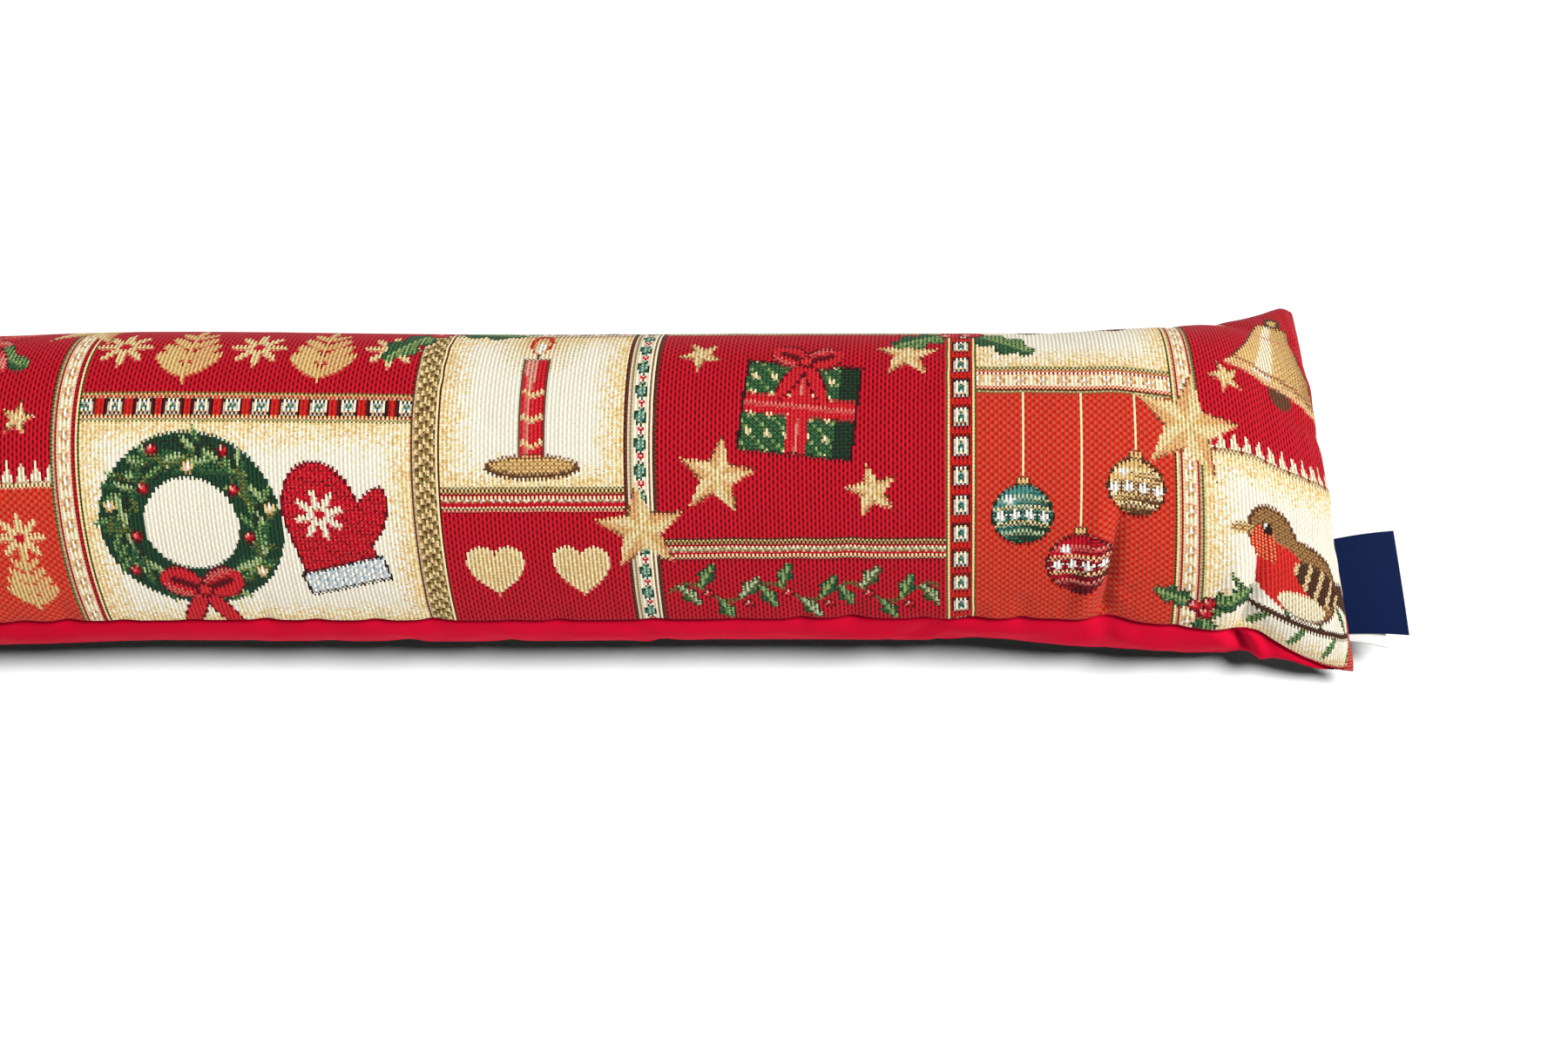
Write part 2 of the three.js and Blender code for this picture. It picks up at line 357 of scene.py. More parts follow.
def panel_points(cells, panel, moves, crowded=0):
    """A panel's finished surface: the solid's form, moved as the settled cloth was, and creased."""
    along, share = cloth_places(cells, panel)
    # Rows across the panel, crowded towards its seams where fine folds need them
    steps = np.linspace(0, 1, cells[1] + 1)
    rows = steps - crowded * np.sin(2 * np.pi * steps) / (2 * np.pi)
    share = np.array([np.interp(rows, steps, line) for line in share])
    points = surface(along, share, panel)
    if moves is not None:
        steps = np.linspace(0, 1, cells[0] + 1)[None, :]
        by_length = spread(moves.transpose(1, 0, 2), np.repeat(steps, moves.shape[1], 0))
        all_rows = np.repeat(rows[None, :], cells[0] + 1, 0)
        points = points + spread(by_length.transpose(1, 0, 2), all_rows)
    out = outward(points) * (1 if panel == "top" else -1)
    points = points + relief(along, CLOTH_WIDTH * rows[None, :], panel)[..., None] * out
    points[..., 2] = np.maximum(points[..., 2], 0)
    return points


def outward(points):
    """Unit normals of a top panel's grid of points."""
    along = np.gradient(points, axis=0)
    across = np.gradient(points, axis=1)
    normal = np.cross(along, across)
    return normal / np.linalg.norm(normal, axis=-1, keepdims=True)


def relief(along, across, panel):
    """How far the creases and the end folds raise or sink a panel, in millimetres."""
    from_seam = np.minimum(across, CLOTH_WIDTH - across)
    inset = EAR_TO_EAR / 2 - np.abs(along)
    crease = CREASES[panel]
    raised = np.zeros(np.broadcast(along, across).shape)
    for k in range(len(crease["along"])):
        cosine, sine = polar(1, crease["turn"][k])
        dx, dy = along - crease["along"][k], across - crease["across"][k]
        u = (dx * cosine + dy * sine) / crease["reach"][k]
        v = (dy * cosine - dx * sine) / crease["half"][k]
        raised += crease["height"][k] * np.exp(-u**2 - v**2)
    at, half, depth = END_FOLD
    raised -= depth * np.exp(-((inset - at) / half) ** 2) * np.clip(from_seam / FOLD_FADE, 0, 1)
    at_end = np.clip(inset / CREASE_FADE, 0, 1)
    raised = raised * np.clip(from_seam / CREASE_FADE, 0, 1) * at_end
    if panel == "under":
        at, half, depth = STITCH_GROOVE
        raised = raised - depth * np.exp(-((from_seam - at) / half) ** 2) * at_end
    return raised


# Light from all round, where the white that the camera sees is 1
WORLD_STRENGTH = 0.003

# Lamps: name, where it shines from, how wide it looks in degrees, strength
LAMPS = [
    ("overhead_softbox", (0.5, -0.11, 1), 25, 4.2),
    ("low_front_softbox", (0, -1, 0.1), 14, 0.38),
    ("low_back_softbox", (0, 1, 0.16), 14, 0.3),
]


def camera_and_light():
    """The camera of the picture, and a bright studio: soft light from above and from both sides."""
    scene = bpy.context.scene
    lens = bpy.data.cameras.new("camera")
    lens.lens = 50
    lens.sensor_width = 36
    lens.shift_x = -200 / 1800
    lens.clip_end = 20
    camera = bpy.data.objects.new("camera", lens)
    camera.location = (0.2598, -0.4790, 0.8883)
    camera.rotation_euler = (math.radians(29), 0, 0)
    scene.collection.objects.link(camera)
    scene.camera = camera

    scene.view_settings.view_transform = "Standard"
    # White behind the floor's edge
    world = bpy.data.worlds.new("studio")
    world.use_nodes = True
    tree = world.node_tree
    background = set_inputs(tree.nodes["Background"], {"Color": (1, 1, 1, 1)})
    seen = tree.nodes.new("ShaderNodeLightPath").outputs["Is Camera Ray"]
    tree.links.new(maths(tree, "MAXIMUM", seen, WORLD_STRENGTH), background.inputs["Strength"])
    scene.world = world

    for name, place, wide, strength in LAMPS:
        lamp = bpy.data.lights.new(name, "SUN")
        lamp.angle = math.radians(wide)
        lamp.energy = strength
        holder = bpy.data.objects.new(name, lamp)
        holder.location = Vector(place) * 3
        holder.rotation_euler = (-Vector(place)).to_track_quat("-Z", "Y").to_euler()
        scene.collection.objects.link(holder)


def floor():
    bpy.ops.mesh.primitive_grid_add(x_subdivisions=4, y_subdivisions=4, size=60)
    ground = bpy.context.object
    ground.name = "floor"
    material, _, shader = material_of("white_floor", 0.9, 0.1)
    shader.inputs["Base Color"].default_value = (1, 1, 1, 1)
    ground.data.materials.append(material)


# Threads of the woven front, as they look in daylight
THREADS = {
    "crimson": "#c81226", "bright_red": "#de3034", "orange_red": "#d02716", "maroon": "#640b16",
    "rose": "#dc7a6c", "pink": "#e9aa96", "cream": "#f1e6cb", "white": "#f8f4ea",
    "straw": "#f3dca8", "gold": "#e4bb78", "apricot": "#dd9363", "tan": "#a97f4c",
    "brown": "#65402a", "dark": "#2b1a17", "forest": "#1f3f2b", "green": "#3f6a3f",
    "olive": "#6d7338", "leaf": "#8fa663", "sage": "#b7c49b", "teal": "#4c8c84",
    "sky": "#a8bfc9",
}

# How a cell is woven, which sets its gaps and dots
PLAIN, RIBBED, SPECKLED, LATTICED = range(4)

# How much further on every other rib of the chart is, in millimetres
COMB_TOOTH = 1.1


def linear(hex_colour):
    """A daylight colour as the shader's linear red, green and blue."""
    values = [int(hex_colour[k:k + 2], 16) / 255 for k in (1, 3, 5)]
    return [v / 12.92 if v <= 0.04045 else ((v + 0.055) / 1.055) ** 2.4 for v in values]


class Loom:
    """The chart of the woven front: a colour and a weave for each cell."""

    def __init__(self, cells):
        self.cells = cells
        self.pitch = np.array([CLOTH_LENGTH / cells[0], CLOTH_WIDTH / cells[1]])
        self.names = {name: np.array(linear(value)) for name, value in THREADS.items()}
        self.colour = np.zeros((*cells, 3)) + self.names["crimson"]
        self.weave = np.full(cells, PLAIN)
        order = np.array([[0, 8, 2, 10], [12, 4, 14, 6], [3, 11, 1, 9], [15, 7, 13, 5]])
        i, j = np.indices(cells)
        self.order = (order[i % 4, j % 4] + 0.5) / 16
        self.grain = np.random.default_rng(5).random(cells)


class Motif:
    """A window of the loom round one place, with its own turned millimetres x and y. Its discs, boxes
    and blades are sized in units, and `less` draws their edges in by millimetres."""

    def __init__(self, loom, at, reach, turn=0, within=None, unit=1):
        low = np.maximum(((np.array(at) - reach) / loom.pitch).astype(int), 0)
        high = np.minimum(((np.array(at) + reach) / loom.pitch).astype(int) + 1, loom.cells)
        self.window = (slice(low[0], max(high[0], low[0])), slice(low[1], max(high[1], low[1])))
        self.loom = loom
        self.unit = unit
        i, j = np.mgrid[self.window]
        # Every other rib is a little further on, so slanting edges end in a comb
        along = (i + 0.5) * loom.pitch[0]
        across = (j + 0.5) * loom.pitch[1] + COMB_TOOTH * (i % 2)
        left, right, low, high = within or (0, CLOTH_LENGTH, 0, CLOTH_WIDTH + 1)
        self.open = (along > left) & (along < right) & (across > low) & (across < high)
        along, across = along - at[0], across - at[1]
        cosine, sine = polar(1, turn)
        self.x = along * cosine + across * sine
        self.y = across * cosine - along * sine
        self.order = loom.order[self.window]
        self.grain = loom.grain[self.window]

    def paint(self, inside, colour, other=None, share=0.5, weave=PLAIN):
        """Weaves a place in one colour, or in two that are mixed cell by cell."""
        inside = inside & self.open
        self.loom.colour[self.window][inside] = self.loom.names[colour]
        self.loom.weave[self.window][inside] = weave
        if other is not None:
            mixed = inside & (self.order < share)
            self.loom.colour[self.window][mixed] = self.loom.names[other]

    def disc(self, x, y, across, up=None, less=0):
        x, y, across, up = (value * self.unit for value in (x, y, across, up or across))
        return ((self.x - x) / (across - less)) ** 2 + ((self.y - y) / (up - less)) ** 2 < 1

    def box(self, left, right, low, high, less=0):
        left, right, low, high = (value * self.unit for value in (left, right, low, high))
        return ((self.x > left + less) & (self.x < right - less)
                & (self.y > low + less) & (self.y < high - less))

    def blade(self, x, y, length, width, turn, teeth=0, less=0):
        """A leaf from its foot: where it is, how far along it each cell is, and its two sides."""
        x, y, length, width = (value * self.unit for value in (x, y, length, width))
        cosine, sine = polar(1, turn)
        u = ((self.x - x) * cosine + (self.y - y) * sine) / length
        v = (self.y - y) * cosine - (self.x - x) * sine
        half = (width - less) / 2 * np.sqrt(np.clip(np.sin(np.pi * np.clip(u, 0, 1)), 0, 1))
        if teeth:
            half = half * (0.5 + 0.5 * np.abs(np.cos(np.pi * teeth * np.clip(u, 0, 1))))
        inside = (u > 0) & (u < 1) & (np.abs(v) < half)
        return inside, u, v


def five_point_star(loom, at, radius, turn, within=None):
    """A star whose arms have a light and a dark side, shaded towards the tips."""
    m = Motif(loom, at, radius + 2, turn, within)
    angle = np.arctan2(m.x, m.y)
    fifth = 2 * math.pi / 5
    folded = np.mod(angle + fifth / 2, fifth) - fifth / 2
    distance = np.hypot(m.x, m.y)
    x, y = distance * np.cos(folded), distance * np.abs(np.sin(folded))
    waist = 0.42 * radius
    notch = (waist * math.cos(fifth / 2), waist * math.sin(fifth / 2))
    edge = (x - radius) * notch[1] - y * (notch[0] - radius)
    inside = edge < 0
    rim = inside & (edge > -0.75 * math.hypot(notch[1], notch[0] - radius))
    m.paint(inside, "straw", "gold", np.clip(distance / radius - 0.1, 0, 1))
    m.paint(inside & (folded < 0), "gold", "apricot", np.clip(distance / radius * 1.3 - 0.2, 0, 1))
    m.paint(rim & (folded < 0), "apricot", "brown", 0.6)


def stars(loom, rows, within=None):
    """Five-pointed stars: place along and across, radius and turn of each."""
    for x, y, radius, turn in rows:
        five_point_star(loom, (x, y), radius, turn, within)


def leaf(m, x, y, length, width, turn, tones=("forest", "green", "leaf"), teeth=0):
    """A leaf with a dark edge, two greens, a pale midrib and slanting veins."""
    inside, u, v = m.blade(x, y, length, width, turn, teeth)
    dark, middle, light = tones
    m.paint(inside, dark)
    inner = m.blade(x, y, length, width, turn, teeth, 2.2)[0]
    m.paint(inner & (v > 0), middle, light, 0.25)
    m.paint(inner & (v <= 0), dark, middle, 0.55)
    veins = inner & (np.mod(u * length - 1.2 * np.abs(v), 4.4) < 1.1)
    m.paint(veins & (v > 0), light)
    m.paint(inside & (np.abs(v) < 0.6) & (u < 0.92), light)


def berry(m, x, y, radius):
    m.paint(m.disc(x, y, radius), "maroon")
    m.paint(m.disc(x, y + 0.2, radius - 0.9), "crimson", "bright_red", 0.4)
    m.paint(m.disc(x - 0.3 * radius, y + 0.35 * radius, 0.32 * radius), "pink")


def holly(loom, at, size, turn):
    """Three toothed leaves round a cluster of berries."""
    m = Motif(loom, at, 34 * size, turn)
    for k, direction in enumerate((20, 150, 265)):
        length = (27 if k != 1 else 23) * size
        leaf(m, *polar(3 * size, direction), length, 14 * size, direction, teeth=3)
    for x, y in ((-3.6, 1.2), (3.4, 2.6), (0.8, -4.2)):
        berry(m, x * size, y * size, 4.2 * size)


def poinsettia(loom, at, size, turn):
    """Two rings of pointed red petals over green leaves, with gold knots in the middle."""
    m = Motif(loom, at, 42 * size, turn)
    for k in range(5):
        leaf(m, 0, 0, 38 * size, 15 * size, 72 * k + 30, teeth=2)
    for ring, (count, length, width) in enumerate(((6, 31, 14), (6, 21, 11))):
        for k in range(count):
            direction = 360 / count * (k + ring / 2) + 8
            inside, u, v = m.blade(0, 0, length * size, width * size, direction)
            inner = m.blade(0, 0, length * size, width * size, direction, less=2.4 * size)[0]
            m.paint(inside, "maroon")
            m.paint(inner, "crimson", "bright_red", 0.35 + 0.4 * (v > 0))
            m.paint(inner & (np.abs(v) < 0.6), "rose")
            m.paint(inner & (v > 0) & (np.mod(u * length * size - 1.3 * v, 5) < 1.1), "rose")
            m.paint(inner & (u > 0.75) & (v > 0), "bright_red", "pink")
    # One gold knot in the middle and six round it
    for k in range(7):
        away = 3.6 * size * (k > 0)
        x, y = away * math.cos(k * 0.9), away * math.sin(k * 0.9)
        m.paint(m.disc(x, y, 1.7 * size), "olive")
        m.paint(m.disc(x, y + 0.3, 1.1 * size), "straw")


def rosette(m, radius):
    """A flower of eight pointed petals, parted by thin gaps."""
    distance = np.hypot(m.x, m.y)
    angle = np.arctan2(m.y, m.x)
    petal = np.abs(np.sin(4 * angle))
    inside = distance < radius * (0.62 + 0.38 * np.minimum(petal * 1.6, 1))
    m.paint(inside & ((petal > 0.28) | (distance < 0.25 * radius)), "maroon", "crimson", 0.35)
    m.paint(distance < 0.2 * radius, "straw")


def sprig(m, x, y, length, turn):
    """A stem with four pairs of small leaves that get shorter towards its tip."""
    cosine, sine = polar(1, turn)
    u = (m.x - x) * cosine + (m.y - y) * sine
    v = (m.y - y) * cosine - (m.x - x) * sine
    m.paint((u > 0) & (u < length) & (np.abs(v) < 0.6), "gold")
    for k in range(4):
        reach = length * (0.48 - 0.07 * k)
        foot = length * (0.1 + 0.8 * k / 4)
        for side in (-1, 1):
            blade = m.blade(x + foot * cosine, y + foot * sine, reach, reach * 0.38, turn + side * 48)
            m.paint(blade[0], "gold" if side > 0 else "apricot", "gold", 0.6)
    tip = m.blade(x + length * 0.75 * cosine, y + length * 0.75 * sine, length * 0.35, 3, turn)[0]
    m.paint(tip, "gold")


def eight_point_star(m, x, y, radius, colour="gold"):
    distance = np.hypot(m.x - x, m.y - y)
    angle = np.arctan2(m.y - y, m.x - x)
    m.paint(distance < radius * (0.36 + 0.64 * np.abs(np.cos(4 * angle)) ** 2.2), colour, "straw")
    m.paint(distance < 0.2 * radius, "crimson")


def box_motif(loom, left, right, low, high):
    """A window of the loom that is open inside one box, and half the box's width and height."""
    half_wide, half_tall = (right - left) / 2, (high - low) / 2
    m = Motif(loom, ((left + right) / 2, (low + high) / 2), max(half_wide, half_tall) + 2)
    m.open = m.open & (np.abs(m.x) < half_wide) & (np.abs(m.y) < half_tall)
    return m, half_wide, half_tall


def strip(loom, left, right, low, high, style):
    """A border that runs the longer way of its box, in one of the common woven patterns."""
    m, half_wide, half_tall = box_motif(loom, left, right, low, high)
    u, v = (m.y, m.x) if half_tall > half_wide else (m.x, m.y)
    half = min(half_wide, half_tall)
    from_edge = half - np.abs(v)

    def whole(*tones, **weave):
        m.paint(True, *tones, **weave)

    def edge(wide, *tones, **weave):
        m.paint(from_edge < wide, *tones, **weave)

    def ovals(place, long, rim, *tones):
        m.paint((place / long) ** 2 + (v / (half - rim)) ** 2 < 1, *tones)

    if style == "beads":
        whole("cream", weave=RIBBED)
        edge(3.4, "tan", "olive", 0.3)
        edge(2.2, "cream", weave=RIBBED)
        edge(1.1, "brown", "maroon", 0.4)
        place = np.mod(u, 11) - 5.5
        ovals(place, 3.6, 4, "forest")
        ovals(place, 2.7, 4.9, "teal", "sage", 0.4)
        m.paint((np.abs(np.abs(place) - 5.5) < 0.9) & (np.abs(v) < 1.3), "crimson")
    elif style == "drops":
        whole("straw", "cream", 0.6, RIBBED)
        edge(3, "crimson", "maroon", 0.3)
        edge(1.9, "straw", "gold")
        edge(0.9, "forest", "olive")
        place = np.mod(u, 9) - 4.5
        ovals(place, 3, 3.8, "gold", "apricot", 0.4)
        ovals(place, 1.6, 5, "white")
    elif style == "braid":
        whole("tan", "olive", 0.45)
        slant = np.mod(u + np.abs(v) * 1.2, 5.6)
        m.paint(slant < 2.4, "straw", "gold")
        m.paint(slant > 4.6, "brown")
        edge(1.9, "straw")
        edge(0.9, "brown", "maroon")
    elif style == "chain":
        whole("orange_red", "crimson", 0.3)
        edge(1.9, "straw", "gold", 0.4)
        edge(0.9, "olive")
        place = np.abs(np.mod(u, 12) - 6)
        m.paint((place < 4.4) & (from_edge > 2.4), "dark", "maroon", 0.3)
        m.paint((place < 3.2) & (from_edge > 3.5), "straw", "white")
        m.paint((place < 1.5) & (from_edge > 5), "teal", "forest", 0.4)
    elif style == "saw":
        whole("crimson", weave=SPECKLED)
        teeth = np.abs(np.mod(u, 6) - 3) / 3
        m.paint(v < half * (2 * teeth - 1) * 0.8, "straw", "cream", 0.6)
        m.paint(v < -half + 2.4, "tan", "brown", 0.4)
        m.paint(v < -half + 1.2, "straw")
    elif style == "stripes":
        bands = "maroon straw crimson crimson olive straw crimson maroon gold forest".split()
        for k, colour in enumerate(bands):
            other = "dark" if colour == "maroon" else None
            m.paint(v >= -half + 2 * half * k / len(bands), colour, other, 0.3)
        m.paint((np.abs(v) < 0.7) & (np.mod(u, 3.6) < 1.8), "cream")
    elif style == "pips":
        whole("maroon", "crimson", 0.35)
        m.paint((np.mod(u, 4.2) < 2.1) & (np.abs(v) < 1.1), "cream")
        edge(1.1, "straw", "gold", 0.4)


def patch(loom, left, right, low, high, ground):
    """The plain ground of one patch, and a window for the motifs that it holds."""
    m, half_wide, half_tall = box_motif(loom, left, right, low, high)
    from_edge = np.minimum(half_wide - np.abs(m.x), half_tall - np.abs(m.y))
    if ground == "cream":
        m.paint(True, "white", "cream", 0.6, RIBBED)
        m.paint(m.grain < 1.0 - from_edge / 14, "straw", weave=RIBBED)
        m.paint(m.grain < 0.35 - from_edge / 30, "gold", weave=RIBBED)
    elif ground == "crimson":
        m.paint(True, "crimson", weave=SPECKLED)
    elif ground == "orange":
        m.paint(True, "orange_red", weave=LATTICED)
    return m


def garland(loom, left, right, middle, depth):
    """Holly twigs and berries that wind along a strip."""
    wave_length, leaf_pitch = 34, 8.5
    m = Motif(loom, ((left + right) / 2, middle), (right - left) / 2 + 4, 0,
              (left, right, middle - depth, middle + depth))
    half = (right - left) / 2
    wave = 0.32 * depth * np.sin(2 * np.pi * (m.x + half) / wave_length)
    m.paint(np.abs(m.y - wave) < 0.9, "olive", "brown")
    for k in range(int((right - left) / leaf_pitch)):
        along = 5 + k * leaf_pitch
        lift = 0.32 * depth * math.sin(2 * math.pi * along / wave_length)
        side = 1 if k % 2 else -1
        tones = ("forest", "green", "leaf") if k % 3 else ("forest", "olive", "sage")
        leaf(m, along - half, lift, 13.5, 8, side * (52 + 9 * (k % 3)), tones, teeth=2)
        if k % 2:
            berry(m, along - half + 3.5, lift - side * 3.6, 2.4)


# Needles and berries of the wreath
NEEDLES = 170
BERRIES = 14


def wreath(loom, at, radius, within):
    """A ring of fir twigs with berries, gold stars of thread and a red bow."""
    m = Motif(loom, at, radius * 1.5, 0, within)
    distance = np.hypot(m.x, m.y)
    ring = np.abs(distance - radius * 0.8) / (radius * 0.3)
    m.paint(ring < 0.85, "forest")
    needles = [("green", "forest"), ("forest", "dark"), ("leaf", "sage"), ("olive", "forest"),
               ("green", "leaf")]
    rng = np.random.default_rng(11)
    for k in range(NEEDLES):
        direction = 360 * k / NEEDLES * 7 % 360
        away = radius * (0.8 + 0.22 * (rng.random() - 0.5))
        x, y = polar(away, direction)
        needle = m.blade(x, y, 8.5, 2.6, direction + 75 + 60 * (rng.random() - 0.5) * 2)[0]
        m.paint(needle, *needles[k % 5], 0.3)
    for k in range(BERRIES):
        x, y = polar(radius * (0.8 + 0.14 * (-1) ** k), 360 * k / BERRIES + 12)
        if k % 3:
            berry(m, x, y, 2.5)
        else:
            m.paint(m.disc(x, y, 2.3), "gold")
            m.paint(m.disc(x, y + 0.4, 1.3), "white")
    bow(m, -radius * 0.86, radius * 0.42)


def bow(m, y, size):
    """A ribbon bow with two loops and two hanging ends."""
    for side in (-1, 1):
        for less, tones in ((0, ("maroon",)), (1.8, ("crimson", "bright_red"))):
            m.paint(m.blade(0, y, size * 1.7, size * 0.55, -90 + side * 28, less=less)[0], *tones)
        loop, u, v = m.blade(0, y, size * 1.25, size * 1.05, 90 - side * 66)
        inner = m.blade(0, y, size * 1.25, size * 1.05, 90 - side * 66, less=2)[0]
        m.paint(loop, "maroon")
        m.paint(inner, "crimson", "bright_red")
        m.paint(inner & (np.abs(v) < 0.11 * size) & (u < 0.75), "maroon")
        m.paint(inner & (v > 0.22 * size), "rose", "crimson")
    m.paint(m.disc(0, y, size * 0.26), "maroon")
    m.paint(m.disc(0, y + 0.3, size * 0.17), "bright_red")


def candle(loom, at, height, within):
    """A candle on a dish with a glow round its flame."""
    m = Motif(loom, at, height, 0, within, height)
    glow = np.hypot(m.x, (m.y - height * 0.52) * 0.85)
    for reach, colour in ((0.34, "straw"), (0.2, "gold")):
        m.paint((glow < height * reach) & (m.order > glow / (height * reach)), colour)
    m.paint(m.box(-0.085, 0.085, -0.42, 0.3), "brown")
    inner = m.box(-0.085, 0.085, -0.42, 0.3, less=0.9)
    shade = m.x / (height * 0.17) + 0.5
    m.paint(inner, "crimson", "bright_red", np.clip(1.1 - shade, 0, 1))
    m.paint(inner & (np.abs(shade - 0.3) < 0.08), "rose")
    m.paint(inner & (m.x < 0) & (m.y > height * (0.12 + 0.07 * np.sin(m.x))), "rose", "pink")
    for k in range(3):
        low = height * (-0.3 + k * 0.16)
        m.paint(inner & (np.abs(m.y - low - 0.5 * np.abs(m.x)) < 1.0), "gold", "straw")
    m.paint((np.abs(m.x) < 0.5) & (m.y > height * 0.29) & (m.y < height * 0.38), "dark")
    for low, length, width, colour in (
        (0.34, 0.3, 0.15, "orange_red"), (0.34, 0.24, 0.1, "gold"), (0.35, 0.15, 0.055, "white"),
    ):
        m.paint(m.blade(0, low, length, width, 90)[0], colour)
    m.paint(m.disc(0, -0.42, 0.3, 0.075), "brown")
    m.paint(m.disc(0, -0.41, 0.27, 0.05), "gold", "tan", 0.4)


def bell(loom, at, size, turn, within=None):
    """A gold bell with a rim, a clapper and a ring at its top."""
    m = Motif(loom, at, size * 1.2, turn, within, size)
    u = np.clip((m.y + size * 0.5) / size, 0, 1)
    half = size * (0.2 + 0.36 * (1 - u) ** 2.2 + 0.1 * (1 - u ** 6))
    inside = (np.abs(m.x) < half) & (np.abs(m.y) < size * 0.5)
    inner = inside & (np.abs(m.x) < half - 1) & (m.y < size * 0.5 - 1)
    across = m.x / half
    m.paint(m.disc(0, -0.56, 0.13) | m.disc(0, 0.58, 0.12) | inside, "brown")
    m.paint(m.disc(0, 0.58, 0.06) & ~inside, "gold")
    m.paint(inner, "gold", "tan", np.clip(0.15 + 0.8 * across, 0, 1))
    m.paint(inner & (np.abs(across + 0.35) < 0.2), "straw", "white", 0.4)
    m.paint(inner & (np.abs(m.y + size * 0.36) < 0.9), "brown", "apricot")
    m.paint(inner & (np.abs(m.y - size * 0.22) < 0.7), "apricot")
    m.paint(inside & (m.y < -size * 0.43), "apricot", "straw", 0.4)


def parcel(loom, at, width, height, turn, within):
    """A wrapped parcel with a crossed ribbon and a bow on top."""
    m = Motif(loom, at, width + height, turn, within)
    m.paint(m.box(-width / 2, width / 2, -height / 2, height / 2), "dark")
    face = m.box(-width / 2, width / 2, -height / 2, height / 2, less=1)
    m.paint(face, "green", "forest", 0.35)
    m.paint(face & (np.mod(m.x + m.y, 8) < 1.3) & (np.mod(m.x - m.y, 8) < 6), "leaf")
    m.paint(face & ((np.mod(m.x, 8) - 4) ** 2 + (np.mod(m.y, 8) - 4) ** 2 < 2.2), "straw")
    m.paint(face & (m.x > width * 0.32), "forest", "dark", 0.25)
    for inside, v in ((np.abs(m.x) < width * 0.09, m.x), (np.abs(m.y) < height * 0.1, m.y)):
        m.paint(face & inside, "crimson", "bright_red", 0.45)
        m.paint(face & inside & (np.abs(v) < 0.6), "rose")
    bow(m, height / 2 + 1, width * 0.27)


def bauble(loom, at, radius, hang, tones, within):
    """A glass ball with bands, on a thread from above."""
    m = Motif(loom, at, max(radius, hang) + 3, 0, within, radius)
    dark, middle, light = tones
    m.paint((np.abs(m.x) < 0.6) & (m.y > 0) & (m.y < hang), "straw")
    m.paint(m.box(-0.22, 0.22, 0.8, 1.22), "brown")
    m.paint(m.box(-0.22, 0.22, 0.8, 1.22, less=0.9), "gold")
    distance = np.hypot(m.x, m.y)
    m.paint(distance < radius, "dark", dark)
    ball = distance < radius - 0.9
    m.paint(ball, middle, dark, np.clip(0.45 + 0.65 * (m.x - m.y) / radius, 0, 1))
    bend = m.y + 0.12 * m.x**2 / radius
    m.paint(ball & (np.abs(bend) < radius * 0.3), "straw", "gold", 0.4)
    band = ball & (np.abs(bend) < radius * 0.22)
    m.paint(band, dark, middle, 0.3)
    m.paint(band & (np.abs(np.mod(m.x, 6) - 3) + np.abs(bend) < 2.6), "white")
    for level in (-0.58, 0.56):
        m.paint(ball & (np.abs(bend - level * radius) < 0.7), light)
    m.paint(m.disc(-0.42, 0.5, 0.17, 0.13), "white")


def bird(loom, at, size, within):
    """A plump little bird on a fir twig, looking towards the plain end."""
    m = Motif(loom, at, size * 1.3, 0, within, size)
    m.x = -m.x
    for k in range(9):
        needle = m.blade(-0.75 + k * 0.18, -0.46, 0.34, 0.064, 62 if k % 2 else -58)[0]
        m.paint(needle, "forest" if k % 2 else "green", "leaf", 0.3)
    m.paint(m.box(-0.85, 0.9, -0.5, -0.44), "brown", "dark")
    m.paint(m.blade(-0.25, 0, 0.75, 0.24, 196)[0], "brown", "dark", 0.35)
    m.paint(m.disc(0, -0.05, 0.44, 0.37) | m.disc(0.28, 0.26, 0.26), "brown")
    m.paint(m.disc(0, -0.05, 0.41, 0.34), "tan", "brown", 0.35)
    m.paint(m.disc(0.28, 0.26, 0.23), "tan", "brown", 0.3)
    m.paint(m.disc(0.2, -0.08, 0.27, 0.29), "orange_red", "bright_red")
    m.paint(m.disc(0.38, 0.16, 0.13, 0.16), "orange_red", "apricot", 0.3)
    m.paint(m.disc(0.02, -0.28, 0.25, 0.12), "cream", "straw", 0.4)
    wing, u, _ = m.blade(0.1, 0.08, 0.62, 0.32, 202)
    m.paint(wing, "dark", "brown")
    m.paint(wing & (np.mod(u * 9, 2) < 0.7), "straw", "tan", 0.4)
    m.paint(m.blade(0.48, 0.27, 0.2, 0.1, -4)[0], "gold", "brown", 0.3)
    m.paint(m.disc(0.34, 0.31, 0.055), "dark")
    m.paint(m.disc(0.36, 0.33, 0.02), "white")


